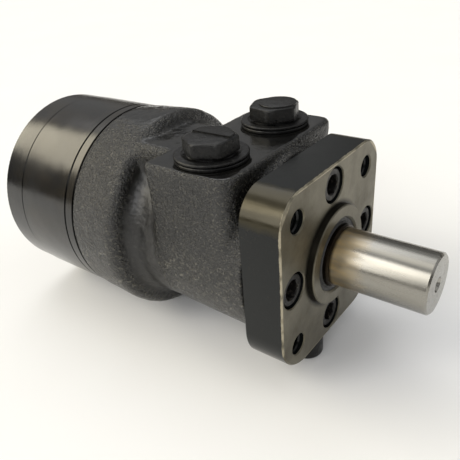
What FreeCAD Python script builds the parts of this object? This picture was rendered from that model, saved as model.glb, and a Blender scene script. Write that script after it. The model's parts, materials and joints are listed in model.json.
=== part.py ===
import FreeCAD, Part
import math
import os

os.makedirs("parts", exist_ok=True)

# Orbital hydraulic motor, in millimetres.
# +X runs along the output shaft towards its free end, +Z points up through the ports.
# The origin is where the shaft axis meets the mounting face of the front flange.

# Stations along X, from the shaft's end to the back of the end cap
SHAFT_END = 44.4
PILOT_HEIGHT = 2.8
SEAL_JOURNAL_END = 4.5
FLANGE_BACK = -18.4
BLOCK_FRONT = -22.2
BLOCK_BACK = -65.2
DRUM_FRONT = -82.6
HOUSING_BACK = -112.3
RING_FRONT = -117.9
RING_BACK = -153.2
CAP_BACK = -168.0

# Outer radii and widths
FLANGE_SIDE = 82.8
FLANGE_TOP_CORNER_R = 14.0
FLANGE_LOW_CORNER_R = 19.0
FLANGE_FRONT_CHAMFER = 0.6
FLANGE_BACK_CHAMFER = 0.5
PILOT_R = 22.2
NECK_R = 42.4
NECK_BACK_R = 40.5
DRUM_FRONT_R = 51.0
DRUM_BACK_R = 49.5
SHOULDER_R = 5.0
RING_R = 49.3
RING_CHAMFER = 0.45
CAP_R = 49.0
CAP_BACK_EDGE_R = 0.9
BLOCK_HALF_WIDTH = 41.5
BLOCK_TOP = 44.7
BLOCK_FRONT_CORNER_R = 7.0
BLOCK_BACK_CORNER_R = 2.5
BLOCK_TOP_EDGE_R = 1.0
WEB_NEAR_Y = -27.0
WEB_FAR_Y = 12.0
WEB_EDGE_R = 4.0

# Shaft, valve spool and drive
SHAFT_R = 12.7
SHAFT_CHAMFER = 0.8
SEAL_JOURNAL_R = 14.0
SPOOL_R = 19.0
SPOOL_FRONT = -22.05
SPOOL_BACK = -109.0
RUNNING_GAP = 0.05
KEYWAY_WIDTH = 6.35
KEYWAY_CUTTER_R = 12.7
KEYWAY_DEPTH = 3.4
KEYWAY_X = 26.0
SHAFT_THREAD_R = 2.6
SHAFT_THREAD_DEPTH = 16.0

# Gerotor set: seven lobes on the ring, six teeth on the star
LOBE_COUNT = 7
TOOTH_COUNT = LOBE_COUNT - 1
LOBE_CIRCLE_R = 34.5
LOBE_R = 7.3
ECCENTRICITY = 3.4
MESH_CLEARANCE = 0.05
VALLEY_CLEARANCE = 0.2
STAR_SIDE_GAP = 0.03
STAR_SEGMENTS = 32

# Splined main drive, tilted so that its back end sits on the star's centre
SPLINE_TEETH = 12
SPLINE_TIP_R = 11.0
SPLINE_ROOT_R = 8.9
SPLINE_GAP = 0.55
SPLINE_LENGTH = 14.0
DRIVE_FRONT_X = -62.0
DRIVE_BACK_X = -136.0
DRIVE_SHANK_R = 7.8
DRIVE_BORE_R = 12.6
SPACER_DISC_R = 11.9
SPACER_DISC_LENGTH = 4.5

# Valve passages
PORT_GROOVE_X = (-41.5, -84.0)
PORT_GROOVE_WIDTH = 7.0
PORT_GROOVE_R = 22.5
SPOOL_GROOVE_R = 16.8
WINDOW_X = -62.0
WINDOW_R = 2.6
PASSAGE_CIRCLE_R = 29.5
SPACER_PLATE_BORE_R = 14.0
SLOT_WIDTH = 4.5
SLOT_OVERLAP = 3.0
SLOT_PHASE = 15.0

# Ports on top and the drain port below the flange
PORT_X = -43.2
PORT_Y = 23.3
PORT_R = 10.2
PORT_FLOOR = 27.0
SPOTFACE_R = 17.0
SPOTFACE_DEPTH = 0.4
PORT_SEAL_R = 12.3
PORT_SEAL_DEPTH = 1.9
PLUG_FLANGE_R = 15.6
PLUG_FLANGE_THICKNESS = 2.9
PLUG_HEX_ACROSS = 21.0
PLUG_HEX_HEIGHT = 7.3
PLUG_HEX_TURN = 12.0
PLUG_SHANK_R = 9.9
PLUG_SHANK_LENGTH = 12.0
LEFT_GALLERY_R = 4.2
RIGHT_GALLERY_R = 4.0
DRAIN_X = -7.6
DRAIN_Y = -9.2
DRAIN_R = 2.4
DRAIN_DEPTH = 4.6
DRAIN_PASSAGE_R = 1.5
DRAIN_CAP_R = 7.5
DRAIN_CAP_HEIGHT = 9.85

# Fasteners
MOUNT_CIRCLE_R = 82.55 / 2
MOUNT_HOLE_R = 4.8
MOUNT_HOLE_DEPTH = 16.0
SCREW_CIRCLE_R = 32.0
SCREW_R = 4.7
SCREW_HEAD_R = 7.1
SCREW_HEAD_HEIGHT = 9.5
SCREW_BORE_R = 7.7
SCREW_BORE_DEPTH = 10.6
SCREW_TIP = -36.0
SCREW_SOCKET_ACROSS = 7.94
SCREW_SOCKET_DEPTH = 5.0
SCREW_STOP_ANGLES = (15, 78, 21, 54)
CAP_SCREW_CIRCLE_R = 41.0
CAP_SCREW_R = 4.0
CAP_SCREW_HEAD_R = 6.5
CAP_SCREW_HEAD_HEIGHT = 5.0
CAP_SCREW_BORE_R = 6.8
CAP_SCREW_BORE_DEPTH = 6.0
CAP_SCREW_SOCKET_ACROSS = 5.0
CAP_SCREW_SOCKET_DEPTH = 3.0
CAP_SCREW_TIP = -97.0
HOLE_GAP = 0.1

# Thrust bearing between the spool and the flange
BEARING_BORE_R = 21.6
BEARING_BORE_FLOOR = -24.2
RACE_THICKNESS = 1.5
NEEDLE_R = 1.0
NEEDLE_LENGTH = 4.0
NEEDLE_COUNT = 20
NEEDLE_CIRCLE_R = 17.0
CAGE_THICKNESS = 1.4
CAGE_INNER_R = 14.3
CAGE_OUTER_R = 21.3

# Seals
FACE_SEAL_R = 35.6
FACE_SEAL_WIDTH = 1.2
FACE_SEAL_DEPTH = 1.2
FLANGE_SEAL_R = 24.2
FLANGE_SEAL_WIDTH = 1.8
SEAL_POCKET_R = 20.1
SEAL_POCKET_FRONT = -6.0
SHAFT_SEAL_BACK = -12.5
SHAFT_SEAL_WEB = -9.0
WASHER_FRONT = -12.6
WASHER_BACK = -14.4
DUST_SEAL_R = 16.4
DUST_SEAL_BACK = -2.0
ASSEMBLY_GAP = 0.05

PLUS_X = FreeCAD.Vector(1, 0, 0)
MINUS_X = FreeCAD.Vector(-1, 0, 0)
PLUS_Z = FreeCAD.Vector(0, 0, 1)


def point(x, y, z):
    return FreeCAD.Vector(x, y, z)


def around(radius, degrees, x=0.0):
    """A point at a radius from the shaft axis; 0 degrees is +Y and 90 degrees is +Z."""
    angle = math.radians(degrees)
    return point(x, radius * math.cos(angle), radius * math.sin(angle))


def rod(x_low, x_high, radius, y=0.0, z=0.0):
    """A solid cylinder along X."""
    return Part.makeCylinder(radius, x_high - x_low, point(x_low, y, z), PLUS_X)


def post(x, y, z_low, z_high, radius):
    """A solid cylinder along Z."""
    return Part.makeCylinder(radius, z_high - z_low, point(x, y, z_low), PLUS_Z)


def tube(x_low, x_high, inner, outer):
    return rod(x_low, x_high, outer).cut(rod(x_low - 1, x_high + 1, inner))


def cone(x_low, x_high, low_radius, high_radius, y=0.0, z=0.0):
    return Part.makeCone(low_radius, high_radius, x_high - x_low, point(x_low, y, z), PLUS_X)


def block(low, high):
    size = high.sub(low)
    return Part.makeBox(size.x, size.y, size.z, low)


def pipe_between(start, end, radius):
    direction = end.sub(start)
    return Part.makeCylinder(radius, direction.Length, start, direction)


def hexagon(across, height, base, axis, turn=0.0):
    """A six-sided prism standing on base, pointing along axis."""
    corner_r = across / math.sqrt(3)
    corners = []
    for side in range(7):
        angle = math.radians(60 * side + turn)
        corners.append(point(corner_r * math.cos(angle), corner_r * math.sin(angle), 0))
    prism = Part.Face(Part.makePolygon(corners)).extrude(point(0, 0, height))
    placed = FreeCAD.Placement(base, FreeCAD.Rotation(PLUS_Z, axis))
    prism.Placement = placed
    return prism


def at_angles(shape, count, start=0.0):
    """Copies of a shape, evenly spaced around the shaft axis."""
    copies = []
    for index in range(count):
        copy = shape.copy()
        copy.rotate(point(0, 0, 0), PLUS_X, start + 360.0 * index / count)
        copies.append(copy)
    return copies


def revolve_about_x(outline):
    """Turns a closed list of (x, radius) corners into a solid of revolution."""
    corners = [point(x, 0, radius) for x, radius in outline]
    face = Part.Face(Part.makePolygon(corners + corners[:1]))
    return face.revolve(point(0, 0, 0), PLUS_X, 360)


def save(name, shape):
    shape.exportStep("parts/%s.step" % name)
    facts = (name, len(shape.Solids), shape.Volume, shape.isValid())
    print("%-24s solids %2d  volume %9.1f  valid %s" % facts)


# Angles of the lobes, the pockets between them and the flange screws, from +Y towards +Z
LOBE_ANGLES = [90 + 360.0 * index / LOBE_COUNT for index in range(LOBE_COUNT)]
POCKET_ANGLES = [angle + 180.0 / LOBE_COUNT for angle in LOBE_ANGLES]
SCREW_ANGLES = [0, 90, 180, 270]
MOUNT_ANGLES = [45, 135, 225, 315]


def rods_around(x_low, x_high, radius, circle_r, angles):
    """Rods along X whose centres lie on a circle around the shaft axis."""
    centres = [around(circle_r, angle) for angle in angles]
    return [rod(x_low, x_high, radius, centre.y, centre.z) for centre in centres]


def cap_screw_holes(x_low, x_high):
    return rods_around(x_low, x_high, CAP_SCREW_R + HOLE_GAP, CAP_SCREW_CIRCLE_R, LOBE_ANGLES)


def passage_holes(x_low, x_high):
    return rods_around(x_low, x_high, WINDOW_R, PASSAGE_CIRCLE_R, POCKET_ANGLES)


def seal_ring(x_low, x_high, radius, width):
    ring = tube(x_low, x_high, radius - width / 2, radius + width / 2)
    return ring.makeFillet(0.3, ring.Edges)


def face_seal(x_low):
    return seal_ring(x_low, x_low + FACE_SEAL_DEPTH - ASSEMBLY_GAP, FACE_SEAL_R, FACE_SEAL_WIDTH)


def seal_groove(x_low, x_high, radius, width):
    half = width / 2 + ASSEMBLY_GAP
    return tube(x_low, x_high, radius - half, radius + half)


def spline_outline(tip_r, root_r, tooth_width, gap):
    """A closed polygon of straight-sided spline teeth in the YZ plane, grown outwards by gap."""
    corners = []
    half = tooth_width / 2 + gap
    for tooth in range(SPLINE_TEETH):
        centre = 360.0 * tooth / SPLINE_TEETH
        for radius, side in ((root_r + gap, -1), (tip_r + gap, -1), (tip_r + gap, 1), (root_r + gap, 1)):
            spread = math.degrees(math.asin(half / radius))
            corners.append(around(radius, centre + side * spread))
    return Part.Face(Part.makePolygon(corners + corners[:1]))


def make_mounting_flange():
    half = FLANGE_SIDE / 2
    plate = block(point(FLANGE_BACK, -half, -half), point(0, half, half))
    long_edges = [edge for edge in plate.Edges if abs(edge.tangentAt(0).x) > 0.9]
    plate = plate.makeFillet(FLANGE_TOP_CORNER_R, [edge for edge in long_edges if edge.BoundBox.ZMin > 0])
    low_edges = [edge for edge in plate.Edges if edge.BoundBox.XLength > 1 and edge.BoundBox.ZMax < 1 - half]
    low_corners = [edge for edge in low_edges if edge.BoundBox.YLength < 1]
    plate = plate.makeFillet(FLANGE_LOW_CORNER_R, low_corners)
    front_edges = [edge for edge in plate.Edges if edge.BoundBox.XMin > -0.01]
    plate = plate.makeChamfer(FLANGE_FRONT_CHAMFER, front_edges)
    back_edges = [edge for edge in plate.Edges if edge.BoundBox.XMax < FLANGE_BACK + 0.01]
    plate = plate.makeChamfer(FLANGE_BACK_CHAMFER, back_edges)
    pilot_rim = 0.5
    pilot = rod(-1, PILOT_HEIGHT - pilot_rim, PILOT_R)
    rim = cone(PILOT_HEIGHT - pilot_rim, PILOT_HEIGHT, PILOT_R, PILOT_R - pilot_rim)
    body = plate.fuse([pilot, rim])
    cuts = [rod(FLANGE_BACK - 1, PILOT_HEIGHT + 1, SEAL_JOURNAL_R + 0.4)]
    cuts.append(rod(DUST_SEAL_BACK - ASSEMBLY_GAP, PILOT_HEIGHT + 1, DUST_SEAL_R + ASSEMBLY_GAP))
    cuts.append(cone(PILOT_HEIGHT - 0.8, PILOT_HEIGHT + 0.2, DUST_SEAL_R, DUST_SEAL_R + 1.0))
    cuts.append(rod(FLANGE_BACK - 1, SEAL_POCKET_FRONT + ASSEMBLY_GAP, SEAL_POCKET_R))
    cuts.append(seal_groove(FLANGE_BACK - 1, FLANGE_BACK + 1.5, FLANGE_SEAL_R, FLANGE_SEAL_WIDTH))
    for angle in SCREW_ANGLES:
        place = around(SCREW_CIRCLE_R, angle)
        cuts.append(rod(FLANGE_BACK - 1, 1, SCREW_R + HOLE_GAP, place.y, place.z))
        cuts.append(rod(-SCREW_BORE_DEPTH, 1, SCREW_BORE_R, place.y, place.z))
        cuts.append(cone(-0.4, 0.1, SCREW_BORE_R, SCREW_BORE_R + 0.5, place.y, place.z))
    for angle in MOUNT_ANGLES:
        place = around(MOUNT_CIRCLE_R, angle)
        cuts.append(rod(-MOUNT_HOLE_DEPTH, 1, MOUNT_HOLE_R, place.y, place.z))
        cuts.append(cone(-0.5, 0.1, MOUNT_HOLE_R, MOUNT_HOLE_R + 0.6, place.y, place.z))
    drain_top = -half + DRAIN_DEPTH
    cuts.append(post(DRAIN_X, DRAIN_Y, -half - 1, drain_top, DRAIN_R))
    seal_pocket_wall = point(-16.5, -10, -17)
    cuts.append(pipe_between(point(DRAIN_X, DRAIN_Y, drain_top - 1), seal_pocket_wall, DRAIN_PASSAGE_R))
    return body.cut(cuts).removeSplitter()


def make_port_block():
    """The block that holds both ports, standing on the round neck, with a web back to the drum."""
    body = block(point(BLOCK_BACK, -BLOCK_HALF_WIDTH, 0), point(BLOCK_FRONT, BLOCK_HALF_WIDTH, BLOCK_TOP))
    upright = [edge for edge in body.Edges if abs(edge.tangentAt(0).z) > 0.9]
    front_corners = [edge for edge in upright if edge.BoundBox.XMin > BLOCK_FRONT - 0.01]
    body = body.makeFillet(BLOCK_FRONT_CORNER_R, front_corners)
    upright = [edge for edge in body.Edges if abs(edge.tangentAt(edge.FirstParameter).z) > 0.9]
    back_corners = [edge for edge in upright if edge.BoundBox.XMax < BLOCK_BACK + 0.01]
    body = body.makeFillet(BLOCK_BACK_CORNER_R, back_corners)
    top_edges = [edge for edge in body.Edges if edge.BoundBox.ZMin > BLOCK_TOP - 0.01]
    body = body.makeChamfer(BLOCK_TOP_EDGE_R, top_edges)
    web_back = DRUM_FRONT - SHOULDER_R
    web_front = BLOCK_BACK + 4
    web = block(point(web_back, WEB_NEAR_Y, 0), point(web_front, WEB_FAR_Y, BLOCK_TOP))
    web_edges = [edge for edge in web.Edges
                 if edge.BoundBox.ZMin > BLOCK_TOP - 0.01 and edge.BoundBox.YLength < 0.01]
    web = web.makeFillet(WEB_EDGE_R, web_edges)
    return body.fuse(web)


def arc_points(centre_x, centre_r, radius, first, last):
    """Points of an arc in the plane of X and radius; 0 degrees points outwards and 90 to the front."""
    steps = 3
    points = []
    for step in range(steps + 1):
        angle = math.radians(first + (last - first) * step / steps)
        points.append((centre_x + radius * math.sin(angle), centre_r + radius * math.cos(angle)))
    return points


def make_drum_and_neck():
    """The turned outline of the casting: round neck, concave foot, rounded shoulder and tapered drum."""
    band_r = RING_R + 0.1
    foot_r = DRUM_FRONT_R - NECK_BACK_R - SHOULDER_R
    neck_front = FLANGE_BACK - ASSEMBLY_GAP
    rim = 0.6
    outline = [(HOUSING_BACK, 0), (HOUSING_BACK, band_r), (HOUSING_BACK + 1.2, band_r)]
    outline.append((HOUSING_BACK + 1.6, DRUM_BACK_R))
    outline += arc_points(DRUM_FRONT - SHOULDER_R, DRUM_FRONT_R - SHOULDER_R, SHOULDER_R, 0, 90)
    outline += arc_points(DRUM_FRONT + foot_r, NECK_BACK_R + foot_r, foot_r, -90, -180)[1:]
    outline += [(neck_front - rim, NECK_R), (neck_front, NECK_R - rim), (neck_front, 0)]
    return revolve_about_x(outline)


def make_housing():
    body = make_drum_and_neck().fuse(make_port_block())
    cuts = [rod(HOUSING_BACK - 1, FLANGE_BACK + 1, SPOOL_R + RUNNING_GAP)]
    cuts.append(rod(BEARING_BORE_FLOOR, FLANGE_BACK + 1, BEARING_BORE_R))
    for groove_x in PORT_GROOVE_X:
        cuts.append(rod(groove_x - PORT_GROOVE_WIDTH / 2, groove_x + PORT_GROOVE_WIDTH / 2, PORT_GROOVE_R))
    cuts.append(seal_groove(HOUSING_BACK - 1, HOUSING_BACK + FACE_SEAL_DEPTH, FACE_SEAL_R, FACE_SEAL_WIDTH))
    for angle in POCKET_ANGLES:
        window_start = around(SPOOL_R - 1, angle, WINDOW_X)
        window_end = around(PASSAGE_CIRCLE_R, angle, WINDOW_X)
        cuts.append(pipe_between(window_start, window_end, WINDOW_R))
    cuts += passage_holes(HOUSING_BACK - 1, WINDOW_X + WINDOW_R)
    cuts += cap_screw_holes(HOUSING_BACK - 1, CAP_SCREW_TIP + 2)
    for angle in SCREW_ANGLES:
        place = around(SCREW_CIRCLE_R, angle)
        cuts.append(rod(SCREW_TIP - 2, FLANGE_BACK + 1, SCREW_R + HOLE_GAP, place.y, place.z))
    for side in (-1, 1):
        seat = BLOCK_TOP - SPOTFACE_DEPTH
        cuts.append(post(PORT_X, side * PORT_Y, seat, BLOCK_TOP + 1, SPOTFACE_R))
        cuts.append(post(PORT_X, side * PORT_Y, seat - PORT_SEAL_DEPTH, BLOCK_TOP + 1, PORT_SEAL_R))
        cuts.append(post(PORT_X, side * PORT_Y, PORT_FLOOR, BLOCK_TOP + 1, PORT_R))
    left_gallery_end = point(PORT_GROOVE_X[0], -12, 17)
    right_gallery_end = point(PORT_GROOVE_X[1], 16, 13)
    cuts.append(pipe_between(point(PORT_X, -PORT_Y, PORT_FLOOR + 2), left_gallery_end, LEFT_GALLERY_R))
    cuts.append(pipe_between(point(PORT_X, PORT_Y, PORT_FLOOR + 2), right_gallery_end, RIGHT_GALLERY_R))
    return body.cut(cuts)


def make_spacer_plate():
    plate = rod(RING_FRONT + ASSEMBLY_GAP, HOUSING_BACK - ASSEMBLY_GAP, RING_R)
    rims = [edge for edge in plate.Edges if edge.BoundBox.YLength > RING_R]
    plate = plate.makeChamfer(RING_CHAMFER, rims)
    cuts = [rod(RING_FRONT - 1, HOUSING_BACK + 1, SPACER_PLATE_BORE_R)]
    cuts += cap_screw_holes(RING_FRONT - 1, HOUSING_BACK + 1)
    cuts += passage_holes(RING_FRONT - 1, HOUSING_BACK + 1)
    return plate.cut(cuts)


def make_gerotor_ring():
    """The fixed outer member: seven round lobes standing in from a round bore."""
    body = rod(RING_BACK, RING_FRONT, RING_R)
    rims = [edge for edge in body.Edges if edge.BoundBox.YLength > RING_R]
    body = body.makeChamfer(RING_CHAMFER, rims)
    valley_r = LOBE_CIRCLE_R + 2 * ECCENTRICITY - LOBE_R + VALLEY_CLEARANCE
    cavity = rod(RING_BACK - 1, RING_FRONT + 1, valley_r)
    for angle in LOBE_ANGLES:
        place = around(LOBE_CIRCLE_R, angle)
        cavity = cavity.cut(rod(RING_BACK - 2, RING_FRONT + 2, LOBE_R, place.y, place.z))
    cuts = [cavity] + cap_screw_holes(RING_BACK - 1, RING_FRONT + 1)
    cuts.append(seal_groove(RING_FRONT - FACE_SEAL_DEPTH, RING_FRONT + 1, FACE_SEAL_R, FACE_SEAL_WIDTH))
    cuts.append(seal_groove(RING_BACK - 1, RING_BACK + FACE_SEAL_DEPTH, FACE_SEAL_R, FACE_SEAL_WIDTH))
    return body.cut(cuts)


def star_point(parameter):
    """A point of the star's outline: the lobe centre's path in the star, moved in by the lobe radius."""
    base = complex(math.cos(parameter), math.sin(parameter))
    path = LOBE_CIRCLE_R * base + ECCENTRICITY * base ** LOBE_COUNT
    speed = 1j * (LOBE_CIRCLE_R * base + LOBE_COUNT * ECCENTRICITY * base ** LOBE_COUNT)
    inward = 1j * speed / abs(speed)
    moved = path + inward * (LOBE_R + MESH_CLEARANCE)
    turned = moved * 1j
    return point(0, turned.real, turned.imag)


def make_gerotor_star():
    """The orbiting inner member, with six teeth and a splined bore, low at rest by the eccentricity."""
    low = RING_BACK + STAR_SIDE_GAP
    high = RING_FRONT - STAR_SIDE_GAP
    flanks = []
    for tooth in range(TOOTH_COUNT):
        pitch = 2 * math.pi / TOOTH_COUNT
        first = pitch * (tooth - 0.5)
        samples = [star_point(first + pitch * step / STAR_SEGMENTS) for step in range(STAR_SEGMENTS + 1)]
        curve = Part.BSplineCurve()
        curve.interpolate(samples)
        flanks.append(curve.toShape())
    outline = Part.Face(Part.Wire(flanks))
    outline.translate(point(low, 0, 0))
    body = outline.extrude(point(high - low, 0, 0))
    splined = spline_outline(SPLINE_TIP_R, SPLINE_ROOT_R, spline_tooth_width(), SPLINE_GAP)
    splined.translate(point(low - 1, 0, 0))
    cuts = [splined.extrude(point(high - low + 2, 0, 0))]
    cuts.append(rod(low - 1, low + SPACER_DISC_LENGTH + 0.6, SPACER_DISC_R + 0.1))
    cuts.append(rod(DRIVE_BACK_X + SPLINE_LENGTH / 2 + 2, high + 1, DRIVE_BORE_R))
    body = body.cut(cuts)
    body.translate(point(0, 0, -ECCENTRICITY))
    return body


def spline_tooth_width():
    return 0.42 * 2 * math.pi * (SPLINE_TIP_R + SPLINE_ROOT_R) / 2 / SPLINE_TEETH


def make_spline_end(centre_x):
    """A short crowned spline: straight teeth whose tips are rounded along the length."""
    teeth = spline_outline(SPLINE_TIP_R, SPLINE_ROOT_R, spline_tooth_width(), 0.0)
    teeth.translate(point(centre_x - SPLINE_LENGTH / 2, 0, 0))
    body = teeth.extrude(point(SPLINE_LENGTH, 0, 0))
    crown = [(centre_x - SPLINE_LENGTH / 2, 0)]
    steps = 6
    for step in range(steps + 1):
        along = -1 + 2.0 * step / steps
        crown.append((centre_x + along * SPLINE_LENGTH / 2, SPLINE_TIP_R - 0.7 * along * along))
    crown.append((centre_x + SPLINE_LENGTH / 2, 0))
    return body.common(revolve_about_x(crown))


def make_main_drive():
    """The dog-bone drive between spool and star, made straight and then tilted about its front spline."""
    length = DRIVE_FRONT_X - DRIVE_BACK_X
    tilt = math.degrees(math.asin(ECCENTRICITY / length))
    overhang = SPLINE_LENGTH / 2 + 1.2
    shank = rod(DRIVE_BACK_X - overhang, DRIVE_FRONT_X + overhang, DRIVE_SHANK_R)
    ends = [edge for edge in shank.Edges if edge.BoundBox.XLength < 0.01]
    shank = shank.makeChamfer(1.0, ends)
    body = shank.fuse([make_spline_end(DRIVE_FRONT_X), make_spline_end(DRIVE_BACK_X)])
    body.rotate(point(DRIVE_FRONT_X, 0, 0), point(0, 1, 0), -tilt)
    return body


def make_drive_spacer():
    back = RING_BACK + STAR_SIDE_GAP
    disc = rod(back, back + SPACER_DISC_LENGTH, SPACER_DISC_R, 0, -ECCENTRICITY)
    return disc.makeChamfer(0.5, [edge for edge in disc.Edges if edge.BoundBox.XLength < 0.01])


def make_output_shaft():
    """The output shaft and the valve spool behind it, made in one piece."""
    outline = [(SPOOL_BACK, 0), (SPOOL_BACK, SPOOL_R - 0.5), (SPOOL_BACK + 0.5, SPOOL_R)]
    outline += [(SPOOL_FRONT - 0.4, SPOOL_R), (SPOOL_FRONT, SPOOL_R - 0.4), (SPOOL_FRONT, SEAL_JOURNAL_R)]
    outline += [(SEAL_JOURNAL_END - 0.7, SEAL_JOURNAL_R), (SEAL_JOURNAL_END, SEAL_JOURNAL_R - 0.7)]
    outline += [(SEAL_JOURNAL_END, SHAFT_R), (SHAFT_END - SHAFT_CHAMFER, SHAFT_R)]
    outline += [(SHAFT_END, SHAFT_R - SHAFT_CHAMFER), (SHAFT_END, 0)]
    body = revolve_about_x(outline)
    cuts = []
    half_groove = PORT_GROOVE_WIDTH / 2
    for groove_x in PORT_GROOVE_X:
        cuts.append(tube(groove_x - half_groove, groove_x + half_groove, SPOOL_GROOVE_R, SPOOL_R + 1))
    front_slot = block(point(WINDOW_X - SLOT_OVERLAP, -SLOT_WIDTH / 2, SPOOL_GROOVE_R),
                       point(PORT_GROOVE_X[0], SLOT_WIDTH / 2, SPOOL_R + 1))
    back_slot = block(point(PORT_GROOVE_X[1], -SLOT_WIDTH / 2, SPOOL_GROOVE_R),
                      point(WINDOW_X + SLOT_OVERLAP, SLOT_WIDTH / 2, SPOOL_R + 1))
    cuts += at_angles(front_slot, TOOTH_COUNT, SLOT_PHASE - 90)
    cuts += at_angles(back_slot, TOOTH_COUNT, SLOT_PHASE - 60)
    spline_back = DRIVE_FRONT_X - SPLINE_LENGTH / 2 - 2.5
    bore_floor = DRIVE_FRONT_X + SPLINE_LENGTH / 2 + 4
    splined = spline_outline(SPLINE_TIP_R, SPLINE_ROOT_R, spline_tooth_width(), SPLINE_GAP)
    splined.translate(point(spline_back - 1, 0, 0))
    cuts.append(splined.extrude(point(bore_floor - spline_back - 1, 0, 0)))
    cuts.append(rod(bore_floor - 2, bore_floor, SPLINE_TIP_R + SPLINE_GAP))
    cuts.append(rod(SPOOL_BACK - 1, spline_back, DRIVE_BORE_R))
    cutter_y = SHAFT_R - KEYWAY_DEPTH + KEYWAY_CUTTER_R
    cuts.append(post(KEYWAY_X, cutter_y, -KEYWAY_WIDTH / 2, KEYWAY_WIDTH / 2, KEYWAY_CUTTER_R))
    cuts.append(rod(SHAFT_END - SHAFT_THREAD_DEPTH, SHAFT_END + 1, SHAFT_THREAD_R))
    cuts.append(cone(SHAFT_END - 1.4, SHAFT_END + 0.2, SHAFT_THREAD_R, SHAFT_THREAD_R + 0.92))
    return body.cut(cuts)


def make_flange_screws():
    """Four socket-head screws that hold the flange to the housing."""
    screws = []
    front = SCREW_HEAD_HEIGHT - SCREW_BORE_DEPTH
    socket_r = SCREW_SOCKET_ACROSS / 2
    for angle, stop_angle in zip(SCREW_ANGLES, SCREW_STOP_ANGLES):
        place = around(SCREW_CIRCLE_R, angle)
        head = rod(-SCREW_BORE_DEPTH, front, SCREW_HEAD_R, place.y, place.z)
        rims = [edge for edge in head.Edges if edge.BoundBox.XMin > front - 0.01]
        head = head.makeChamfer(0.6, rims)
        shank = rod(SCREW_TIP, -SCREW_BORE_DEPTH + 1, SCREW_R, place.y, place.z)
        base = point(front - SCREW_SOCKET_DEPTH, place.y, place.z)
        socket = hexagon(SCREW_SOCKET_ACROSS, SCREW_SOCKET_DEPTH + 1, base, PLUS_X, stop_angle)
        lead = cone(front - 0.5, front + 0.1, socket_r, socket_r + 0.8, place.y, place.z)
        screws.append(head.fuse(shank).cut([socket, lead]))
    return Part.makeCompound(screws)


def make_end_cap_screws():
    """Seven low-head socket screws through the end cap, ring and spacer plate into the housing."""
    screws = []
    seat = CAP_BACK + CAP_SCREW_BORE_DEPTH
    back = seat - CAP_SCREW_HEAD_HEIGHT
    for index, angle in enumerate(LOBE_ANGLES):
        place = around(CAP_SCREW_CIRCLE_R, angle)
        head = rod(back, seat, CAP_SCREW_HEAD_R, place.y, place.z)
        rim = [edge for edge in head.Edges if edge.BoundBox.XMax < back + 0.01]
        head = head.makeChamfer(0.5, rim)
        shank = rod(seat - 1, CAP_SCREW_TIP, CAP_SCREW_R, place.y, place.z)
        base = point(back + CAP_SCREW_SOCKET_DEPTH, place.y, place.z)
        socket = hexagon(CAP_SCREW_SOCKET_ACROSS, CAP_SCREW_SOCKET_DEPTH + 1, base, MINUS_X, 17 * index)
        screws.append(head.fuse(shank).cut(socket))
    return Part.makeCompound(screws)


def make_end_cap():
    """The plain round plate behind the gerotor set; its screw heads sit below its back face."""
    cap = rod(CAP_BACK, RING_BACK - ASSEMBLY_GAP, CAP_R)
    back_rim = [edge for edge in cap.Edges if edge.BoundBox.XMax < CAP_BACK + 0.01]
    cap = cap.makeFillet(CAP_BACK_EDGE_R, back_rim)
    front_rim = [edge for edge in cap.Edges
                 if edge.BoundBox.XMin > RING_BACK - 1 and edge.BoundBox.YLength > CAP_R]
    cap = cap.makeChamfer(RING_CHAMFER, front_rim)
    cuts = cap_screw_holes(CAP_BACK - 1, RING_BACK + 1)
    bore_floor = CAP_BACK + CAP_SCREW_BORE_DEPTH
    cuts += rods_around(CAP_BACK - 1, bore_floor, CAP_SCREW_BORE_R, CAP_SCREW_CIRCLE_R, LOBE_ANGLES)
    return cap.cut(cuts)


def make_dust_seal():
    seal = tube(DUST_SEAL_BACK, PILOT_HEIGHT - 1.0, SEAL_JOURNAL_R + RUNNING_GAP, DUST_SEAL_R)
    lip = cone(PILOT_HEIGHT - 1.6, PILOT_HEIGHT - 0.4, SEAL_JOURNAL_R + 1.3, SEAL_JOURNAL_R + 0.5)
    lip = lip.cut(rod(0, PILOT_HEIGHT + 1, SEAL_JOURNAL_R + RUNNING_GAP))
    return seal.fuse(lip).removeSplitter()


def make_shaft_seal():
    """A lip seal that opens towards the housing's oil."""
    lip_thickness = 1.4
    rim_thickness = 1.8
    inner = SEAL_JOURNAL_R + RUNNING_GAP
    body = tube(SHAFT_SEAL_BACK, SEAL_POCKET_FRONT, inner, SEAL_POCKET_R - ASSEMBLY_GAP)
    hollow = tube(SHAFT_SEAL_BACK - 1, SHAFT_SEAL_WEB, inner + lip_thickness, SEAL_POCKET_R - rim_thickness)
    return body.cut(hollow)


def make_seal_backup_washer():
    return tube(WASHER_BACK, WASHER_FRONT, SEAL_JOURNAL_R + 0.2, SEAL_POCKET_R - 0.1)


def make_bearing_race():
    front = FLANGE_BACK - ASSEMBLY_GAP
    return tube(front - RACE_THICKNESS, front, CAGE_INNER_R, CAGE_OUTER_R)


def needle_x():
    return FLANGE_BACK - ASSEMBLY_GAP - RACE_THICKNESS - 0.03 - NEEDLE_R


def needle_at(radius, length_extra):
    half = NEEDLE_LENGTH / 2 + length_extra
    needle = Part.makeCylinder(radius, 2 * half, point(needle_x(), 0, NEEDLE_CIRCLE_R - half), PLUS_Z)
    return at_angles(needle, NEEDLE_COUNT)


def make_thrust_bearing_cage():
    centre = needle_x()
    cage = tube(centre - CAGE_THICKNESS / 2, centre + CAGE_THICKNESS / 2, CAGE_INNER_R, CAGE_OUTER_R)
    return cage.cut(needle_at(NEEDLE_R + 0.06, 0.1))


def make_thrust_bearing_rollers():
    return Part.makeCompound(needle_at(NEEDLE_R, 0.0))


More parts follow.
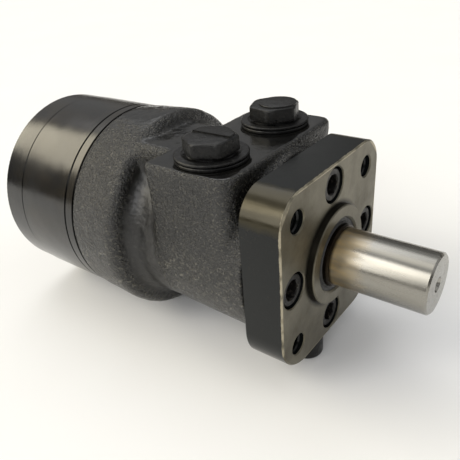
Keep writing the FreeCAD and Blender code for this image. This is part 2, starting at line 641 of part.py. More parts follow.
def make_port_plug(side):
    """A plastic shipping plug: round flange, hexagon head with a chamfered top, and a plain shank."""
    seat = BLOCK_TOP - SPOTFACE_DEPTH + ASSEMBLY_GAP
    y = side * PORT_Y
    flange = post(PORT_X, y, seat, seat + PLUG_FLANGE_THICKNESS, PLUG_FLANGE_R)
    rim = [edge for edge in flange.Edges if edge.BoundBox.ZMin > seat + PLUG_FLANGE_THICKNESS - 0.01]
    flange = flange.makeFillet(0.8, rim)
    top = seat + PLUG_FLANGE_THICKNESS + PLUG_HEX_HEIGHT
    sunk = 0.5
    base = point(PORT_X, y, top - PLUG_HEX_HEIGHT - sunk)
    head = hexagon(PLUG_HEX_ACROSS, PLUG_HEX_HEIGHT + sunk, base, PLUS_Z, PLUG_HEX_TURN * side)
    trim_height = 8.0
    flat_r = PLUG_HEX_ACROSS / 2 - 0.6
    trim = Part.makeCone(flat_r + 12.6, flat_r, trim_height, point(PORT_X, y, top - trim_height), PLUS_Z)
    head = head.common(trim)
    shank = post(PORT_X, y, seat - PLUG_SHANK_LENGTH, seat + 0.5, PLUG_SHANK_R)
    hollow = post(PORT_X, y, seat - PLUG_SHANK_LENGTH - 1, seat - 2.0, PLUG_SHANK_R - 2.0)
    return flange.fuse([head, shank]).cut(hollow).removeSplitter()


def make_port_seal(side):
    seat = BLOCK_TOP - SPOTFACE_DEPTH
    ring = post(PORT_X, side * PORT_Y, seat - PORT_SEAL_DEPTH + 0.05, seat, PORT_SEAL_R - 0.2)
    ring = ring.cut(post(PORT_X, side * PORT_Y, seat - 5, seat + 5, PLUG_SHANK_R + 0.02))
    return ring


def make_drain_plug():
    """A round plastic cap with a shank, pushed into the drain port from below."""
    under = -FLANGE_SIDE / 2 - ASSEMBLY_GAP
    cap = post(DRAIN_X, DRAIN_Y, under - DRAIN_CAP_HEIGHT, under, DRAIN_CAP_R)
    low_rim = [edge for edge in cap.Edges if edge.BoundBox.ZMax < under - DRAIN_CAP_HEIGHT + 0.01]
    cap = cap.makeFillet(2.2, low_rim)
    shank = post(DRAIN_X, DRAIN_Y, under - 1, under + DRAIN_DEPTH - 2, DRAIN_R - HOLE_GAP)
    return cap.fuse(shank).removeSplitter()


save("mounting_flange", make_mounting_flange())
save("housing", make_housing())
save("spacer_plate", make_spacer_plate())
save("gerotor_ring", make_gerotor_ring())
save("end_cap", make_end_cap())
save("gerotor_star", make_gerotor_star())
save("main_drive", make_main_drive())
save("drive_spacer", make_drive_spacer())
save("output_shaft", make_output_shaft())
save("bearing_race", make_bearing_race())
save("thrust_bearing_cage", make_thrust_bearing_cage())
save("thrust_bearing_rollers", make_thrust_bearing_rollers())
save("dust_seal", make_dust_seal())
save("shaft_seal", make_shaft_seal())
save("seal_backup_washer", make_seal_backup_washer())
save("flange_seal", seal_ring(FLANGE_BACK, FLANGE_BACK + 1.45, FLANGE_SEAL_R, FLANGE_SEAL_WIDTH))
save("housing_seal", face_seal(HOUSING_BACK))
save("ring_front_seal", face_seal(RING_FRONT - FACE_SEAL_DEPTH + ASSEMBLY_GAP))
save("ring_back_seal", face_seal(RING_BACK))
save("flange_screws", make_flange_screws())
save("end_cap_screws", make_end_cap_screws())
save("port_plug_left", make_port_plug(-1))
save("port_plug_right", make_port_plug(1))
save("port_seal_left", make_port_seal(-1))
save("port_seal_right", make_port_seal(1))
save("drain_plug", make_drain_plug())
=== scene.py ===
"""Looks of an orbital hydraulic motor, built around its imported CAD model. All lengths are in metres."""

import json
import math

import bmesh
import bpy
import numpy as np
from mathutils import Matrix, Vector, noise


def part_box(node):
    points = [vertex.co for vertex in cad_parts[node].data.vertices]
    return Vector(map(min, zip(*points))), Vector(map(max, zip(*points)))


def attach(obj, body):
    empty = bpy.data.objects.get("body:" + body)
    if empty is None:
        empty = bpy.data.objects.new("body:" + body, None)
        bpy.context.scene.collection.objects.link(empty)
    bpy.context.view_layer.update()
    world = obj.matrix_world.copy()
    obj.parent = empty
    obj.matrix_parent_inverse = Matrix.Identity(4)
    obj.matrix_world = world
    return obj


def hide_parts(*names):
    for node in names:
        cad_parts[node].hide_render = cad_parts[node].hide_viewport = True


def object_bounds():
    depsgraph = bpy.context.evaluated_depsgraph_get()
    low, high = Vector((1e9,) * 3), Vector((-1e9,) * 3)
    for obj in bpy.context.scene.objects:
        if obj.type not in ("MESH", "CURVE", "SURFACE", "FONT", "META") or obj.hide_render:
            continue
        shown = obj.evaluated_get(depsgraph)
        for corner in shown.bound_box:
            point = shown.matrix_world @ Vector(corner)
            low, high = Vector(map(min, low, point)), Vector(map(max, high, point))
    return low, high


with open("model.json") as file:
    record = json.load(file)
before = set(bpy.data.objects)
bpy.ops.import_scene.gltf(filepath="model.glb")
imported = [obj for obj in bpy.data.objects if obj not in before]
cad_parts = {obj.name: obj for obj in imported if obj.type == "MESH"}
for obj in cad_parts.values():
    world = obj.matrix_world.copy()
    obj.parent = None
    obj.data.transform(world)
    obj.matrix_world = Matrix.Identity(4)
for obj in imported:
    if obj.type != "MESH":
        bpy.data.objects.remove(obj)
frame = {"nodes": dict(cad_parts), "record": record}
cad_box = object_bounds()
MM = 0.001


# ---------------------------------------------------------------- material helper

class Finish:
    """One procedural material. Uniform values are set on the shader's own sockets."""

    def __init__(self, name, **sockets):
        self.material = bpy.data.materials.new(name)
        self.material.use_nodes = True
        self.tree = self.material.node_tree
        self.shader = self.tree.nodes["Principled BSDF"]
        for socket, value in sockets.items():
            self.set(socket.replace("_", " "), value)
        self.place = self.node("ShaderNodeTexCoord").outputs["Object"]

    def set(self, socket, value):
        target = self.shader.inputs[socket]
        if isinstance(value, bpy.types.NodeSocket):
            self.tree.links.new(value, target)
        elif isinstance(value, tuple):
            target.default_value = (*value, 1.0)
        else:
            target.default_value = value

    def node(self, kind, inputs=None, **settings):
        made = self.tree.nodes.new(kind)
        for name, value in settings.items():
            setattr(made, name, value)
        for key, value in (inputs or {}).items():
            if isinstance(value, bpy.types.NodeSocket):
                self.tree.links.new(value, made.inputs[key])
            else:
                made.inputs[key].default_value = value
        return made

    def noise(self, scale, detail=3.0, roughness=0.55, stretch=(1, 1, 1)):
        """Smooth noise, 0 to 1. scale counts features per metre; stretch squeezes them along an axis."""
        moved = self.node("ShaderNodeVectorMath", {0: self.place, 1: stretch}, operation="MULTIPLY")
        inputs = {"Vector": moved.outputs[0], "Scale": scale, "Detail": detail, "Roughness": roughness}
        return self.node("ShaderNodeTexNoise", inputs).outputs["Fac"]

    def remap(self, value, low, high, to_low=0.0, to_high=1.0):
        made = self.node("ShaderNodeMapRange", {0: value, 1: low, 2: high, 3: to_low, 4: to_high})
        return made.outputs[0]

    def maths(self, operation, first, second=0.0):
        return self.node("ShaderNodeMath", {0: first, 1: second}, operation=operation).outputs[0]

    def mix(self, factor, first, second):
        made = self.node("ShaderNodeMix", data_type="RGBA")
        for index, value in ((0, factor), (6, first), (7, second)):
            if isinstance(value, bpy.types.NodeSocket):
                self.tree.links.new(value, made.inputs[index])
            elif isinstance(value, tuple):
                made.inputs[index].default_value = (*value, 1.0)
            else:
                made.inputs[index].default_value = value
        return made.outputs[2]

    def axis(self, letter):
        return self.node("ShaderNodeSeparateXYZ", {0: self.place}).outputs[letter]

    def facing(self, letter):
        """The surface normal's part along one axis of the object."""
        normal = self.node("ShaderNodeNewGeometry").outputs["Normal"]
        return self.node("ShaderNodeSeparateXYZ", {0: normal}).outputs[letter]

    def radius(self):
        """Distance from the shaft axis."""
        flat = self.node("ShaderNodeVectorMath", {0: self.place, 1: (0, 1, 1)}, operation="MULTIPLY")
        length = self.node("ShaderNodeVectorMath", {0: flat.outputs[0]}, operation="LENGTH")
        return length.outputs["Value"]

    def bump(self, *layers):
        """Each layer is (height, depth in metres)."""
        normal = None
        for height, depth in layers:
            inputs = {"Height": height, "Distance": depth, "Strength": 1.0}
            if normal is not None:
                inputs["Normal"] = normal
            normal = self.node("ShaderNodeBump", inputs).outputs[0]
        self.set("Normal", normal)


# ---------------------------------------------------------------- materials

HOUSING_LOW, HOUSING_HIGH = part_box("housing")
DRUM_ABOVE_BLOCK = 6.3 * MM
BLOCK_TOP = HOUSING_HIGH.z - DRUM_ABOVE_BLOCK
BLOCK_BACK = -65.2 * MM
NECK_HOLLOW_R = (0.0475, 0.0440)
NECK_HOLLOW_X = (-0.0645, -0.0675)
PLATE_EDGE = (0.0403, 0.0406)
PLATE_EDGE_AT_CORNERS_R = (0.0508, 0.0511)
PLATE_WORN_FROM_R = 0.0506
PLATE_WORN_TO_R = 0.0522
PILOT_FOOT_INNER_R = (0.0216, 0.0221)
PILOT_FOOT_OUTER_R = (0.0246, 0.0226)
SEAL_SHADE_X = (0.0058, 0.0044)
SEAM_WIDTH = (0.0008, 0.0004)


def cast_paint():
    """Black paint over sand-cast iron: pimpled, with light flecks painted into its colour as glints on the
    sand grains, coarser low down. The block's top is smooth and shiny, and the hollow of the neck behind the
    block is smooth with a soft sheen."""
    m = Finish("black_cast_paint", Specular_IOR_Level=0.62)
    along, height = m.axis("X"), m.axis("Z")
    top = m.maths("MULTIPLY", m.remap(height, BLOCK_TOP - 0.0015, BLOCK_TOP - 0.0003),
                  m.remap(m.facing("Z"), 0.93, 0.985))
    hollow = m.maths("MULTIPLY", m.remap(m.radius(), *NECK_HOLLOW_R), m.remap(along, *NECK_HOLLOW_X))
    smooth = m.maths("MAXIMUM", m.maths("MULTIPLY", top, 0.93), m.maths("MULTIPLY", hollow, 0.80))
    rough = m.maths("SUBTRACT", 1.0, smooth)
    dust = m.remap(m.noise(60, 5.0, 0.65), 0.45, 0.75)
    paint = m.mix(dust, (0.003, 0.003, 0.003), (0.011, 0.010, 0.008))
    # Painted glints: light flecks in the paint's colour stand in for highlights on the sand grains; coarse
    # ones only low down, none on the smooth top or hollow.
    fine = m.remap(m.noise(1250, 2.0, 0.5), 0.56, 0.70)
    low = m.remap(height, 0.016, -0.004)
    coarse = m.maths("MULTIPLY", m.remap(m.noise(620, 3.0, 0.6), 0.57, 0.67), low)
    painted_glints = m.maths("MULTIPLY", m.maths("MAXIMUM", m.maths("MULTIPLY", fine, 0.7), coarse), rough)
    m.set("Base Color", m.mix(painted_glints, paint, (0.110, 0.104, 0.082)))
    gloss = m.remap(m.noise(380, 3.0), 0.3, 0.7, 0.17, 0.30)
    shiny = m.maths("MULTIPLY", gloss, m.remap(top, 0.0, 1.0, 1.0, 0.45))
    m.set("Roughness", m.maths("ADD", shiny, m.maths("MULTIPLY", hollow, 0.13)))
    sand = m.maths("MULTIPLY", m.remap(m.noise(620, 4.0, 0.65), 0.35, 0.65), rough)
    grain = m.maths("MULTIPLY", m.noise(1500, 3.0, 0.6), rough)
    m.bump((sand, 0.00036), (grain, 0.00012))
    return m.material


def machined_paint():
    """Glossy black paint over turned steel: brown where it is rubbed thin, black in the seams."""
    m = Finish("black_machined_paint", Specular_IOR_Level=0.55)
    turning = m.noise(40, 3.0, 0.6, stretch=(60, 0.6, 0.6))
    wander = m.noise(45, 3.0, 0.5)
    rubbed = m.remap(m.noise(30, 5.0, 0.65, stretch=(0.5, 1, 1)), 0.42, 0.75)
    seams = None
    for joint in (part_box("gerotor_ring")[0].x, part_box("gerotor_ring")[1].x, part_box("spacer_plate")[1].x):
        distance = m.maths("ABSOLUTE", m.maths("SUBTRACT", m.axis("X"), joint))
        seam = m.remap(distance, *SEAM_WIDTH)
        seams = seam if seams is None else m.maths("MAXIMUM", seams, seam)
    paint = m.mix(rubbed, (0.008, 0.008, 0.008), (0.026, 0.020, 0.011))
    m.set("Base Color", m.mix(seams, paint, (0.004, 0.004, 0.004)))
    m.set("Metallic", m.maths("MULTIPLY", seams, 0.9))
    m.set("Roughness", m.remap(wander, 0.3, 0.7, 0.13, 0.24))
    m.bump((wander, 0.00030), (turning, 0.00002))
    return m.material


def flange_finish():
    """Black painted sides; in front of the plate's edge it is bare ground steel, stained and rust-flecked."""
    m = Finish("machined_face", Specular_IOR_Level=0.26)
    along = m.axis("X")
    ragged = m.maths("MULTIPLY", m.noise(300, 5.0, 0.7), 0.0008)
    bare = m.remap(m.maths("ADD", along, ragged), -0.00026, -0.00010)
    stain = m.remap(m.noise(55, 5.0, 0.65), 0.35, 0.75)
    clean = m.mix(stain, (0.190, 0.176, 0.136), (0.085, 0.075, 0.051))
    from_axis = m.radius()
    # Painted shade: the pilot's side wall and the face just round it are darkened at the pilot's foot, where
    # shade falls in the corner.
    pilot_foot = m.maths("MULTIPLY", m.remap(from_axis, *PILOT_FOOT_INNER_R),
                         m.remap(from_axis, *PILOT_FOOT_OUTER_R))
    below_pilot_face = m.remap(along, 0.0026, 0.0021)
    painted_foot_shade = m.maths("MULTIPLY", pilot_foot, below_pilot_face)
    face_with_painted_shade = m.mix(m.maths("MULTIPLY", painted_foot_shade, 0.9), clean, (0.010, 0.009, 0.007))
    across = m.maths("MAXIMUM", m.maths("ABSOLUTE", m.axis("Y")), m.maths("ABSOLUTE", m.axis("Z")))
    outside = m.maths("MAXIMUM", m.remap(across, *PLATE_EDGE), m.remap(from_axis, *PLATE_EDGE_AT_CORNERS_R))
    broken_edge = m.maths("MULTIPLY", outside, m.remap(m.noise(120, 4.0), 0.36, 0.52))
    steel = m.mix(broken_edge, face_with_painted_shade, (0.40, 0.36, 0.27))
    flecks = m.remap(m.noise(900, 6.0, 0.75), 0.62, 0.70)
    paint = m.mix(flecks, (0.006, 0.007, 0.007), (0.036, 0.032, 0.024))
    wear = m.maths("MULTIPLY", m.noise(180, 5.0, 0.7), 0.002)
    corner = m.remap(m.maths("ADD", from_axis, wear), PLATE_WORN_FROM_R, PLATE_WORN_TO_R)
    rubbed = m.mix(corner, paint, (0.040, 0.035, 0.022))
    m.set("Base Color", m.mix(bare, rubbed, steel))
    m.set("Metallic", m.maths("MAXIMUM", m.maths("MULTIPLY", bare, 0.85), m.maths("MULTIPLY", corner, 0.45)))
    grinding = m.noise(70, 4.0, 0.6, stretch=(1, 24, 1.5))
    m.set("Roughness", m.remap(m.maths("ADD", bare, m.noise(200, 3.0)), 0.3, 1.7, 0.15, 0.46))
    m.bump((grinding, 0.00003), (m.noise(1500, 3.0), 0.00002))
    return m.material


def polished_shaft():
    """Ground steel with faint streaks along it and a brown stain where it leaves the seal."""
    m = Finish("polished_shaft", Metallic=1.0)
    along = m.axis("X")
    drift = m.maths("MULTIPLY", m.noise(70, 5.0, 0.7, stretch=(0.5, 1, 1)), 0.016)
    rust = m.remap(m.maths("ADD", along, drift), 0.028, 0.012)
    blotch = m.remap(m.noise(190, 5.0, 0.7, stretch=(0.25, 1, 1)), 0.28, 0.58)
    amount = m.maths("MULTIPLY", rust, blotch)
    tarnish = m.remap(m.noise(60, 4.0, 0.6, stretch=(0.15, 1, 1)), 0.3, 0.7)
    steel = m.mix(tarnish, (0.345, 0.338, 0.318), (0.275, 0.262, 0.228))
    stained = m.mix(amount, steel, (0.520, 0.385, 0.190))
    # Painted shade: the steel near the seal is darkened, where shade falls in the recess round the shaft.
    painted_seal_shade = m.remap(along, *SEAL_SHADE_X)
    m.set("Base Color", m.mix(painted_seal_shade, stained, (0.016, 0.012, 0.008)))
    streaks = m.noise(420, 4.0, 0.6, stretch=(0.06, 1, 1))
    dullness = m.maths("ADD", m.maths("MULTIPLY", amount, 0.8), streaks)
    m.set("Roughness", m.remap(dullness, 0.3, 1.3, 0.20, 0.50))
    m.bump((streaks, 0.00001), (m.noise(350, 3.0), 0.000006))
    return m.material


def bare_steel(name, color, low, high):
    m = Finish(name, Metallic=1.0)
    lines = m.noise(60, 4.0, 0.6, stretch=(30, 1, 1))
    oil = m.remap(m.noise(80, 4.0, 0.6), 0.4, 0.7)
    m.set("Base Color", m.mix(oil, color, tuple(0.7 * channel for channel in color)))
    m.set("Roughness", m.remap(lines, 0.3, 0.7, low, high))
    m.bump((lines, 0.00002))
    return m.material


def black_oxide():
    m = Finish("black_oxide", Metallic=0.6)
    worn = m.remap(m.noise(600, 5.0, 0.7), 0.55, 0.70)
    m.set("Base Color", m.mix(worn, (0.014, 0.013, 0.012), (0.10, 0.09, 0.075)))
    m.set("Roughness", m.remap(m.noise(400, 3.0), 0.3, 0.7, 0.32, 0.52))
    m.bump((m.noise(1400, 3.0), 0.00004))
    return m.material


def moulded_plastic():
    """Dull black plastic, scuffed and dusty."""
    m = Finish("black_plastic", Specular_IOR_Level=0.34)
    dust = m.remap(m.noise(420, 6.0, 0.75), 0.56, 0.76)
    m.set("Base Color", m.mix(dust, (0.003, 0.003, 0.003), (0.030, 0.028, 0.023)))
    m.set("Roughness", m.remap(m.noise(260, 4.0), 0.3, 0.7, 0.24, 0.46))
    m.bump((m.noise(320, 4.0, 0.6), 0.0005), (m.noise(1500, 3.0), 0.00006))
    return m.material


def soft_seal(name, color):
    m = Finish(name)
    m.set("Base Color", m.mix(m.noise(300, 4.0), color, tuple(1.8 * channel for channel in color)))
    m.set("Roughness", m.remap(m.noise(500, 3.0), 0.3, 0.7, 0.45, 0.65))
    m.bump((m.noise(1200, 3.0), 0.00004))
    return m.material


MATERIALS = {
    "black_cast_paint": cast_paint(),
    "black_machined_paint": machined_paint(),
    "machined_face": flange_finish(),
    "polished_shaft": polished_shaft(),
    "bearing_steel": bare_steel("bearing_steel", (0.62, 0.62, 0.61), 0.15, 0.3),
    "gear_steel": bare_steel("gear_steel", (0.50, 0.50, 0.49), 0.25, 0.4),
    "black_oxide": black_oxide(),
    "black_plastic": moulded_plastic(),
    "seal_rubber": soft_seal("seal_rubber", (0.018, 0.018, 0.018)),
    "seal_plastic": soft_seal("seal_plastic", (0.40, 0.36, 0.27)),
}

for part in frame["record"]["subparts"]:
    for place in frame["nodes"][part["node"]].material_slots:
        place.material = MATERIALS[part["material_slot"]]


# ---------------------------------------------------------------- mesh helpers

def add_piece(name, mesh, body, slot, *nodes, smooth_angle=35):
    """Puts a finished mesh in the scene as a piece of a body, standing for the CAD nodes named."""
    piece = bpy.data.objects.new(name, mesh)
    bpy.context.scene.collection.objects.link(piece)
    mesh.materials.clear()
    mesh.materials.append(MATERIALS[slot])
    mesh.shade_smooth()
    mesh.set_sharp_from_angle(angle=math.radians(smooth_angle))
    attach(piece, body)
    if nodes:
        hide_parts(*nodes)
    return piece


def mesh_from(name, shape):
    """Turns a bmesh into a mesh whose faces point outwards."""
    bmesh.ops.recalc_face_normals(shape, faces=shape.faces)
    mesh = bpy.data.meshes.new(name)
    shape.to_mesh(mesh)
    shape.free()
    return mesh


def loft(shape, rings):
    """Joins rings of equal length with quads and closes the two ends."""
    rows = [[shape.verts.new(corner) for corner in ring] for ring in rings]
    count = len(rings[0])
    for row, above in zip(rows, rows[1:]):
        for index in range(count):
            after = (index + 1) % count
            shape.faces.new((row[index], row[after], above[after], above[index]))
    shape.faces.new(rows[0])
    shape.faces.new(rows[-1])


def circle(centre, radius, height, steps):
    turns = [2 * math.pi * index / steps for index in range(steps)]
    return [centre + Vector((radius * math.cos(turn), radius * math.sin(turn), height)) for turn in turns]


# ---------------------------------------------------------------- the casting

VOXEL = 0.75 * MM
SMOOTH_STEPS = 26
CLEAN_STEPS = 3
SAND_WAVES = ((0.22, 150), (0.13, 420), (0.08, 800))


def neighbour_means(places, edges):
    """The mean place of each vertex's neighbours."""
    count = len(places)
    both = np.concatenate((edges, edges[:, ::-1]))
    degree = np.bincount(both[:, 0], minlength=count)
    sums = [np.bincount(both[:, 0], weights=places[both[:, 1], axis], minlength=count) for axis in range(3)]
    return np.stack(sums, axis=1) / degree[:, None]


def fade(value, start, end):
    return np.clip((value - start) / (end - start), 0.0, 1.0)


def cast_share(places):
    """1 on the casting's rough outer skin, 0 on its machined faces and inside its bores."""
    x, y, z = places[:, 0], places[:, 1], places[:, 2]
    from_axis = np.hypot(y, z)
    share = fade(from_axis, 34 * MM, 37 * MM)
    share *= fade(x, HOUSING_LOW.x + 1.5 * MM, HOUSING_LOW.x + 3.0 * MM)
    share *= fade(x, HOUSING_HIGH.x - 0.8 * MM, HOUSING_HIGH.x - 2.5 * MM)
    for node in ("port_plug_left", "port_plug_right"):
        low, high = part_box(node)
        centre = (low + high) / 2
        from_port = np.hypot(x - centre.x, y - centre.y)
        share *= np.where(z > 20 * MM, fade(from_port, 17.5 * MM, 19.0 * MM), 1.0)
    on_top = fade(z, BLOCK_TOP - 1.0 * MM, BLOCK_TOP - 0.2 * MM)
    share *= 1.0 - 0.8 * on_top * (x > BLOCK_BACK + 2 * MM)
    return share


def fillet_share(places):
    """1 where the block, neck and drum run together in soft hollows, 0 at the block's crisp edges."""
    x, z = places[:, 0], places[:, 2]
    block_top = BLOCK_TOP - 4 * MM
    behind_block = fade(x, BLOCK_BACK + 1.0 * MM, BLOCK_BACK - 1.5 * MM)
    below_top = fade(z, block_top, block_top - 6 * MM)
    return np.maximum(behind_block, below_top)


def make_cast_housing():
    """The CAD housing with the soft hollows and the sand texture of a casting."""
    source = bpy.data.objects.new("housing_source", frame["nodes"]["housing"].data.copy())
    bpy.context.scene.collection.objects.link(source)
    remesh = source.modifiers.new("voxels", "REMESH")
    remesh.mode = "VOXEL"
    remesh.voxel_size = VOXEL
    depsgraph = bpy.context.evaluated_depsgraph_get()
    mesh = bpy.data.meshes.new_from_object(source.evaluated_get(depsgraph))
    bpy.data.objects.remove(source)

    count = len(mesh.vertices)
    places = np.empty(count * 3)
    mesh.vertices.foreach_get("co", places)
    places = places.reshape(-1, 3)
    edges = np.empty(len(mesh.edges) * 2, dtype=np.int64)
    mesh.edges.foreach_get("vertices", edges)
    edges = edges.reshape(-1, 2)

    rough = cast_share(places)[:, None]
    hollow = fillet_share(places)[:, None] * rough
    for step in range(SMOOTH_STEPS):
        strength = hollow if step >= CLEAN_STEPS else np.maximum(hollow, 0.6)
        places += 0.5 * strength * (neighbour_means(places, edges) - places)

    mesh.vertices.foreach_set("co", places.ravel())
    mesh.update()
    normals = np.empty(count * 3)
    mesh.vertices.foreach_get("normal", normals)
    normals = normals.reshape(-1, 3)
    lift = np.empty(count)
    for index, place in enumerate(places):
        spot = Vector(place)
        lift[index] = sum(depth * noise.noise(spot * scale) for depth, scale in SAND_WAVES)
    places += normals * (lift * MM)[:, None] * rough
    mesh.vertices.foreach_set("co", places.ravel())
    mesh.update()
    return mesh


add_piece("cast_housing", make_cast_housing(), "motor_body", "black_cast_paint", "housing", smooth_angle=70)


# ---------------------------------------------------------------- port plugs

HEX_SIDE_STEPS = 8
HEX_CORNER_REACH = 1.11
HEAD_ACROSS = 21.0 * MM
HEAD_STEP = 0.65
DISC_OFF_CENTRE = Vector((1.5, 0.8, 0)) * MM


def hex_ring(centre, across, height, turn, round_off=0.0):
    """A hexagon with softened corners; round_off runs from 0, a sharp hexagon, to 1, a circle."""
    ring = []
    flat = across / 2
    count = 6 * HEX_SIDE_STEPS
    for index in range(count):
        angle = 2 * math.pi * index / count
        within = (angle + math.pi / 6) % (math.pi / 3) - math.pi / 6
        reach = flat / math.cos(within)
        radius = min(reach, flat * HEX_CORNER_REACH) * (1 - round_off) + flat * round_off
        turned = angle + turn
        ring.append(centre + Vector((radius * math.cos(turned), radius * math.sin(turned), height)))
    return ring


def turned_rings(centre, outline, steps):
    return [circle(centre, radius * MM, height * MM, steps) for radius, height in outline]


def raised_disc(centre, across, turn):
    """A round step on top of the head, a little off centre as moulded."""
    middle = centre + DISC_OFF_CENTRE
    return lambda share, height: circle(middle, 0.41 * across * share, height, 6 * HEX_SIDE_STEPS)


def raised_half(centre, across, turn):
    """A step over the rear half of the head, with its straight edge along the motor."""
    def ring(share, height):
        whole = hex_ring(centre, 0.9 * across * share, height, turn, 0.5)
        return [corner for corner in whole if corner.y >= centre.y]
    return ring


def make_port_plug(name, node, body, turn, raised):
    """A moulded plug: a hollow shank, a flange of two layers and a hexagon head with a raised step on top."""
    low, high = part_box(node)
    centre = Vector(((low.x + high.x) / 2, (low.y + high.y) / 2, 0))
    seat = BLOCK_TOP / MM - 0.35
    top = high.z / MM
    step = HEAD_STEP
    shape = bmesh.new()
    inside = [(7.0, seat - 2.5), (7.4, seat - 3.0), (7.9, seat - 12.0)]
    shank = [(9.5, seat - 12.0), (9.9, seat - 11.4), (9.9, seat)]
    lower = [(14.9, seat), (15.4, seat + 0.25), (15.4, seat + 1.0)]
    lower += [(15.2, seat + 1.25), (14.3, seat + 1.3)]
    upper = [(14.3, seat + 1.7), (15.2, seat + 1.75), (15.5, seat + 2.0)]
    upper += [(15.5, seat + 2.5), (15.1, seat + 2.8)]
    ledge = [(12.4, seat + 2.9), (11.9, seat + 2.6), (10.4, seat + 2.5)]
    ledge += [(10.1, seat + 2.7), (10.1, seat + 3.3)]
    loft(shape, turned_rings(centre, inside + shank + lower + upper + ledge, 96))
    across = HEAD_ACROSS
    head = [(0.94, seat + 3.2, 0.30), (1.0, seat + 3.7, 0.0), (1.0, top - step - 0.9, 0.0)]
    head += [(0.985, top - step - 0.4, 0.15), (0.95, top - step - 0.1, 0.35), (0.90, top - step, 0.5)]
    loft(shape, [hex_ring(centre, across * share, height * MM, turn, soft) for share, height, soft in head])
    ring = raised(centre, across, turn)
    loft(shape, [ring(share, height * MM) for share, height in
                 ((1.0, top - step - 0.1), (1.0, top - 0.2), (0.985, top - 0.05), (0.96, top))])
    mesh = mesh_from(name, shape)
    return add_piece(name, mesh, body, "black_plastic", node, smooth_angle=28)


make_port_plug("plug_left", "port_plug_left", "left_plug", math.radians(-2), raised_half)
make_port_plug("plug_right", "port_plug_right", "right_plug", math.radians(21), raised_disc)


# ---------------------------------------------------------------- threads

MOUNT_CIRCLE_R = 82.55 * MM / 2
MOUNT_HOLE_R = 4.8 * MM
MOUNT_THREAD_DEPTH = 13 * MM
MOUNT_THREAD_PITCH = 1.5875 * MM
MOUNT_THREAD_HEIGHT = 0.8 * MM
SHAFT_HOLE_R = 2.6 * MM
SHAFT_THREAD_DEPTH = 12 * MM
SHAFT_THREAD_PITCH = 1.27 * MM
SHAFT_THREAD_HEIGHT = 0.45 * MM
THREAD_START = 1.5 * MM
THREAD_STEPS = 36
THREAD_PROUD = 0.05 * MM


def make_thread(name, body, slot, mouth, hole_radius, depth, pitch, height):
    """The ridge of an internal thread: a helix that stands in from a hole's wall, running back along -X."""
    steps = THREAD_STEPS
    count = int(depth / pitch * steps)
    base = hole_radius + THREAD_PROUD
    rows = []
    shape = bmesh.new()
    for index in range(count + 1):
        turn = 2 * math.pi * index / steps
        along = mouth.x - pitch * index / steps
        taper = min(1.0, index / steps, (count - index) / steps)
        row = []
        crest = height * taper
        for offset, inset in ((0.42, 0.0), (0.07, crest), (-0.07, crest), (-0.42, 0.0)):
            radius = base - inset
            across, up = radius * math.cos(turn), radius * math.sin(turn)
            row.append(shape.verts.new((along + offset * pitch, mouth.y + across, mouth.z + up)))
        rows.append(row)
    for row, after in zip(rows, rows[1:]):
        for index in range(4):
            follow = (index + 1) % 4
            shape.faces.new((row[index], row[follow], after[follow], after[index]))
    shape.faces.new(rows[0])
    shape.faces.new(rows[-1])
    add_piece(name, mesh_from(name, shape), body, slot)


for number, degrees in enumerate((45, 135, 225, 315), start=1):
    angle = math.radians(degrees)
    mouth = Vector((-THREAD_START, MOUNT_CIRCLE_R * math.cos(angle), MOUNT_CIRCLE_R * math.sin(angle)))
    make_thread("mount_thread_%d" % number, "motor_body", "machined_face", mouth, MOUNT_HOLE_R,
                MOUNT_THREAD_DEPTH, MOUNT_THREAD_PITCH, MOUNT_THREAD_HEIGHT)
shaft_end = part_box("output_shaft")[1].x
make_thread("shaft_thread", "shaft", "polished_shaft", Vector((shaft_end - THREAD_START, 0, 0)),
            SHAFT_HOLE_R, SHAFT_THREAD_DEPTH, SHAFT_THREAD_PITCH, SHAFT_THREAD_HEIGHT)


# ---------------------------------------------------------------- floor, light and camera

FLOOR_HALF = 3.0
FLOOR_GAP = 0.0005


def pale_floor(height):
    mesh = bpy.data.meshes.new("floor")
    half = FLOOR_HALF
    corners = [(-half, -half, height), (half, -half, height), (half, half, height), (-half, half, height)]
    mesh.from_pydata(corners, [], [(0, 1, 2, 3)])
    floor = bpy.data.objects.new("floor", mesh)
    bpy.context.scene.collection.objects.link(floor)
    m = Finish("pale_floor", Roughness=0.8)
    m.set("Base Color", m.mix(m.noise(8, 3.0), (0.86, 0.86, 0.86), (0.90, 0.90, 0.90)))
    mesh.materials.append(m.material)


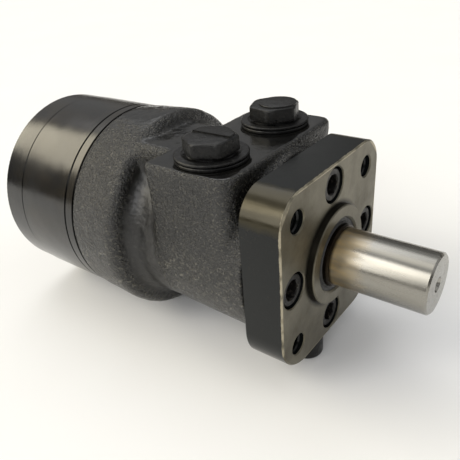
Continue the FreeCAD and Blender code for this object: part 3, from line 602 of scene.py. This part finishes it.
class Sky:
    """A dim studio with soft rectangular lights, far enough away to light the whole floor evenly."""

    def __init__(self, low, high):
        world = bpy.data.worlds.new("studio")
        world.use_nodes = True
        self.tree = world.node_tree
        self.output = self.tree.nodes["Background"]
        self.direction = self.tree.nodes.new("ShaderNodeTexCoord").outputs["Generated"]
        height = self.tree.nodes.new("ShaderNodeSeparateXYZ")
        self.tree.links.new(self.direction, height.inputs[0])
        ramp = self.tree.nodes.new("ShaderNodeValToRGB")
        ramp.color_ramp.elements[0].color = (*low, 1.0)
        ramp.color_ramp.elements[1].color = (*high, 1.0)
        self.tree.links.new(height.outputs["Z"], ramp.inputs[0])
        self.light = ramp.outputs[0]
        bpy.context.scene.world = world

    def maths(self, operation, *values):
        made = self.tree.nodes.new("ShaderNodeMath")
        made.operation = operation
        for place, value in zip(made.inputs, values):
            if isinstance(value, bpy.types.NodeSocket):
                self.tree.links.new(value, place)
            else:
                place.default_value = value
        return made.outputs[0]

    def along(self, axis):
        made = self.tree.nodes.new("ShaderNodeVectorMath")
        made.operation = "DOT_PRODUCT"
        self.tree.links.new(self.direction, made.inputs[0])
        made.inputs[1].default_value = axis
        return made.outputs["Value"]

    def add_box(self, azimuth, elevation, width, height, radiance, color=(1, 1, 1), edge=0.06):
        """A light panel. Angles in degrees; width, height and edge are half sizes at unit distance."""
        turn, tilt = math.radians(azimuth), math.radians(elevation)
        middle = Vector((math.cos(tilt) * math.cos(turn), math.cos(tilt) * math.sin(turn), math.sin(tilt)))
        across = Vector((-math.sin(turn), math.cos(turn), 0))
        depth = self.maths("MAXIMUM", self.along(middle), 0.001)
        mask = None
        for axis, half in ((across, width), (middle.cross(across), height)):
            offset = self.maths("ABSOLUTE", self.maths("DIVIDE", self.along(axis), depth))
            fade = self.tree.nodes.new("ShaderNodeMapRange")
            fade.interpolation_type = "SMOOTHSTEP"
            self.tree.links.new(offset, fade.inputs[0])
            fade.inputs[1].default_value = half + edge
            fade.inputs[2].default_value = half - edge
            mask = fade.outputs[0] if mask is None else self.maths("MULTIPLY", mask, fade.outputs[0])
        panel = self.tree.nodes.new("ShaderNodeVectorMath")
        panel.operation = "SCALE"
        panel.inputs[0].default_value = tuple(radiance * channel for channel in color)
        self.tree.links.new(mask, panel.inputs["Scale"])
        total = self.tree.nodes.new("ShaderNodeVectorMath")
        self.tree.links.new(self.light, total.inputs[0])
        self.tree.links.new(panel.outputs[0], total.inputs[1])
        self.light = total.outputs[0]

    def finish(self):
        self.tree.links.new(self.light, self.output.inputs["Color"])


CAMERA_PLACE = Vector((0.0880, -0.1759, 0.1242))
CAMERA_TARGET = Vector((-0.0332, -0.0278, 0.0158))
CAMERA_ROLL = math.radians(4.72)
CAMERA_LENS = 41.62
CAMERA_SENSOR = 36.0


def make_camera():
    data = bpy.data.cameras.new("camera")
    data.lens = CAMERA_LENS
    data.sensor_width = CAMERA_SENSOR
    data.clip_start = 0.01
    data.dof.use_dof = False
    camera = bpy.data.objects.new("camera", data)
    bpy.context.scene.collection.objects.link(camera)
    aim = (CAMERA_TARGET - CAMERA_PLACE).to_track_quat("-Z", "Y").to_matrix().to_4x4()
    camera.matrix_world = Matrix.Translation(CAMERA_PLACE) @ aim @ Matrix.Rotation(-CAMERA_ROLL, 4, "Z")
    bpy.context.scene.camera = camera


pale_floor(cad_box[0].z - FLOOR_GAP)
sky = Sky((0.05, 0.042, 0.03), (0.46, 0.47, 0.48))
sky.add_box(-152, 36, 0.42, 0.22, 4.6, (1.0, 0.92, 0.72))
sky.add_box(-117, 33, 0.17, 0.48, 4.2, (1.0, 0.98, 0.94))
sky.add_box(-68, 28, 0.36, 0.13, 4.8)
sky.add_box(148, 55, 0.34, 0.24, 2.0, edge=0.10)
sky.add_box(180, 77, 0.20, 0.30, 1.1, (1.0, 0.96, 0.86), edge=0.10)
sky.add_box(150, 22, 0.60, 0.24, 0.14)
sky.add_box(30, 35, 0.50, 0.40, 0.4)
sky.finish()
make_camera()
bpy.context.scene.view_settings.view_transform = "Standard"
